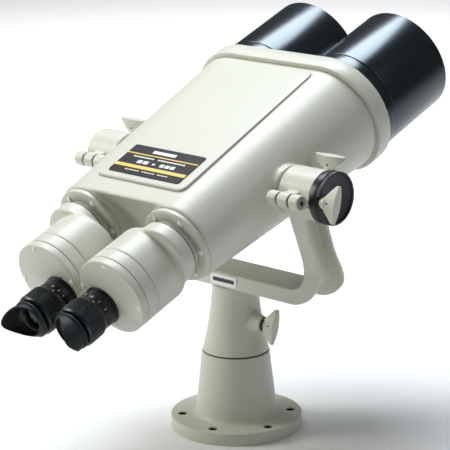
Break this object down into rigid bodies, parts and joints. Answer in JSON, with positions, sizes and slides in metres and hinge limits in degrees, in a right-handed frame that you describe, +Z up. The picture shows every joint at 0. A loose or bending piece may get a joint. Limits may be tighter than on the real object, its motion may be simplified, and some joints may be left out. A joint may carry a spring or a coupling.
{
  "type": "mounted binocular telescope",
  "caption": "Large twin-tube binocular telescope with hoods, turning prism drums and winged eyecups, cradled in a tilting fork on a round flanged pedestal with wing clamps.",
  "frame": {"origin": "centre of the pedestal flange's underside", "axes": "+Z up the azimuth axis, +Y the way the objectives look in plan, +X to the right along the trunnion axis"},
  "size_m": [0.4137, 0.6179, 0.5163],
  "materials": {
    "cream_paint": "satin cream enamel on cast aluminium",
    "bronze": "plain turned bearing metal",
    "black_rubber": "matt moulded rubber",
    "steel": "turned steel",
    "white_sticker": "blank printed film",
    "black_plate": "enamelled plate",
    "black_metal": "satin black enamel",
    "optical_glass": "coated optical glass"
  },
  "bodies": {
    "pedestal": {"pedestal_base": "cream_paint", "lower_azimuth_bearing": "bronze", "upper_azimuth_bearing": "bronze", "thrust_washer": "black_rubber"},
    "fork": {"azimuth_spindle": "steel", "spindle_nut": "steel", "fork_neck": "cream_paint", "azimuth_brake_shoe": "bronze", "fork_yoke": "cream_paint", "yoke_label": "white_sticker", "right_trunnion_bush": "bronze", "left_trunnion_bush": "bronze", "right_hinge_pin": "steel", "left_hinge_pin": "steel", "brake_drum": "black_metal", "brake_cover": "black_metal", "brake_pad": "black_rubber"},
    "azimuth_clamp": {"azimuth_clamp_knob": "cream_paint"},
    "elevation_clamp": {"elevation_clamp_knob": "cream_paint"},
    "telescope": {"body_casting": "cream_paint", "label_plate": "black_plate", "right_trunnion": "steel", "left_trunnion": "steel", "brake_disc": "steel", "right_hood_ring": "black_metal", "left_hood_ring": "black_metal", "right_lens_hood": "black_metal", "left_lens_hood": "black_metal", "right_objective_cell": "black_metal", "left_objective_cell": "black_metal", "right_objective_lens": "optical_glass", "left_objective_lens": "optical_glass", "right_rear_flange": "cream_paint", "left_rear_flange": "cream_paint"},
    "right_cap": {"right_bearing_cap": "cream_paint"},
    "right_bolt": {"right_cap_bolt": "cream_paint"},
    "right_prism_unit": {"right_prism_housing": "cream_paint", "right_retaining_ring": "steel", "right_prism_end_cap": "cream_paint", "right_rear_prism": "optical_glass", "right_front_prism": "optical_glass", "right_eyepiece_seat": "black_metal"},
    "right_focus": {"right_focus_ring": "black_metal"},
    "right_eyepiece": {"right_eyepiece_barrel": "black_metal", "right_eye_lens": "optical_glass", "right_eyecup": "black_rubber"},
    "left_cap": {"left_bearing_cap": "cream_paint"},
    "left_bolt": {"left_cap_bolt": "cream_paint"},
    "left_prism_unit": {"left_prism_housing": "cream_paint", "left_retaining_ring": "steel", "left_prism_end_cap": "cream_paint", "left_rear_prism": "optical_glass", "left_front_prism": "optical_glass", "left_eyepiece_seat": "black_metal"},
    "left_focus": {"left_focus_ring": "black_metal"},
    "left_eyepiece": {"left_eyepiece_barrel": "black_metal", "left_eye_lens": "optical_glass", "left_eyecup": "black_rubber"}
  },
  "joints": [
    {"name": "azimuth_turn", "type": "hinge", "parent": "pedestal", "child": "fork", "pos_m": [0, 0, 0.1], "axis": [0, 0, 1], "continuous": true},
    {"name": "azimuth_clamp_turn", "type": "hinge", "parent": "fork", "child": "azimuth_clamp", "pos_m": [0.05, 0, 0.144], "axis": [1, 0, 0], "range_deg": [-150, 150]},
    {"name": "elevation_clamp_turn", "type": "hinge", "parent": "fork", "child": "elevation_clamp", "pos_m": [0.205, -0.07, 0.342], "axis": [1, 0, 0], "range_deg": [-150, 150]},
    {"name": "elevation_tilt", "type": "hinge", "parent": "fork", "child": "telescope", "pos_m": [0, -0.045, 0.342], "axis": [1, 0, 0], "range_deg": [-50, 44]},
    {"name": "right_cap_open", "type": "hinge", "parent": "fork", "child": "right_cap", "pos_m": [0.1637, -0.089, 0.342], "axis": [1, 0, 0], "range_deg": [0, 100]},
    {"name": "right_bolt_turn", "type": "hinge", "parent": "right_cap", "child": "right_bolt", "pos_m": [0.1654, -0.01, 0.36], "axis": [0, 0, 1], "continuous": true},
    {"name": "right_eye_spacing", "type": "hinge", "parent": "telescope", "child": "right_prism_unit", "pos_m": [0.0732, -0.1855, 0.28947], "axis": [0, 0.9367, 0.3502], "range_deg": [-20, 14]},
    {"name": "right_focus_turn", "type": "hinge", "parent": "right_prism_unit", "child": "right_focus", "pos_m": [0.0342, -0.2881, 0.22122], "axis": [0, 0.9367, 0.3502], "range_deg": [-150, 150]},
    {"name": "right_eyepiece_slide", "type": "slide", "parent": "right_prism_unit", "child": "right_eyepiece", "axis": [0, 0.9367, 0.3502], "range_m": [-0.0026, 0.0026]},
    {"name": "left_cap_open", "type": "hinge", "parent": "fork", "child": "left_cap", "pos_m": [-0.1637, -0.089, 0.342], "axis": [1, 0, 0], "range_deg": [0, 100]},
    {"name": "left_bolt_turn", "type": "hinge", "parent": "left_cap", "child": "left_bolt", "pos_m": [-0.1654, -0.01, 0.36], "axis": [0, 0, 1], "continuous": true},
    {"name": "left_eye_spacing", "type": "hinge", "parent": "telescope", "child": "left_prism_unit", "pos_m": [-0.0732, -0.1855, 0.28947], "axis": [0, 0.9367, 0.3502], "range_deg": [-14, 20]},
    {"name": "left_focus_turn", "type": "hinge", "parent": "left_prism_unit", "child": "left_focus", "pos_m": [-0.0342, -0.2881, 0.22122], "axis": [0, 0.9367, 0.3502], "range_deg": [-150, 150]},
    {"name": "left_eyepiece_slide", "type": "slide", "parent": "left_prism_unit", "child": "left_eyepiece", "axis": [0, 0.9367, 0.3502], "range_m": [-0.0026, 0.0026]}
  ],
  "couplings": [
    {"joint": "right_eyepiece_slide", "follows": "right_focus_turn", "m_per_rad": 0.000955},
    {"joint": "left_eyepiece_slide", "follows": "left_focus_turn", "m_per_rad": 0.000955}
  ]
}
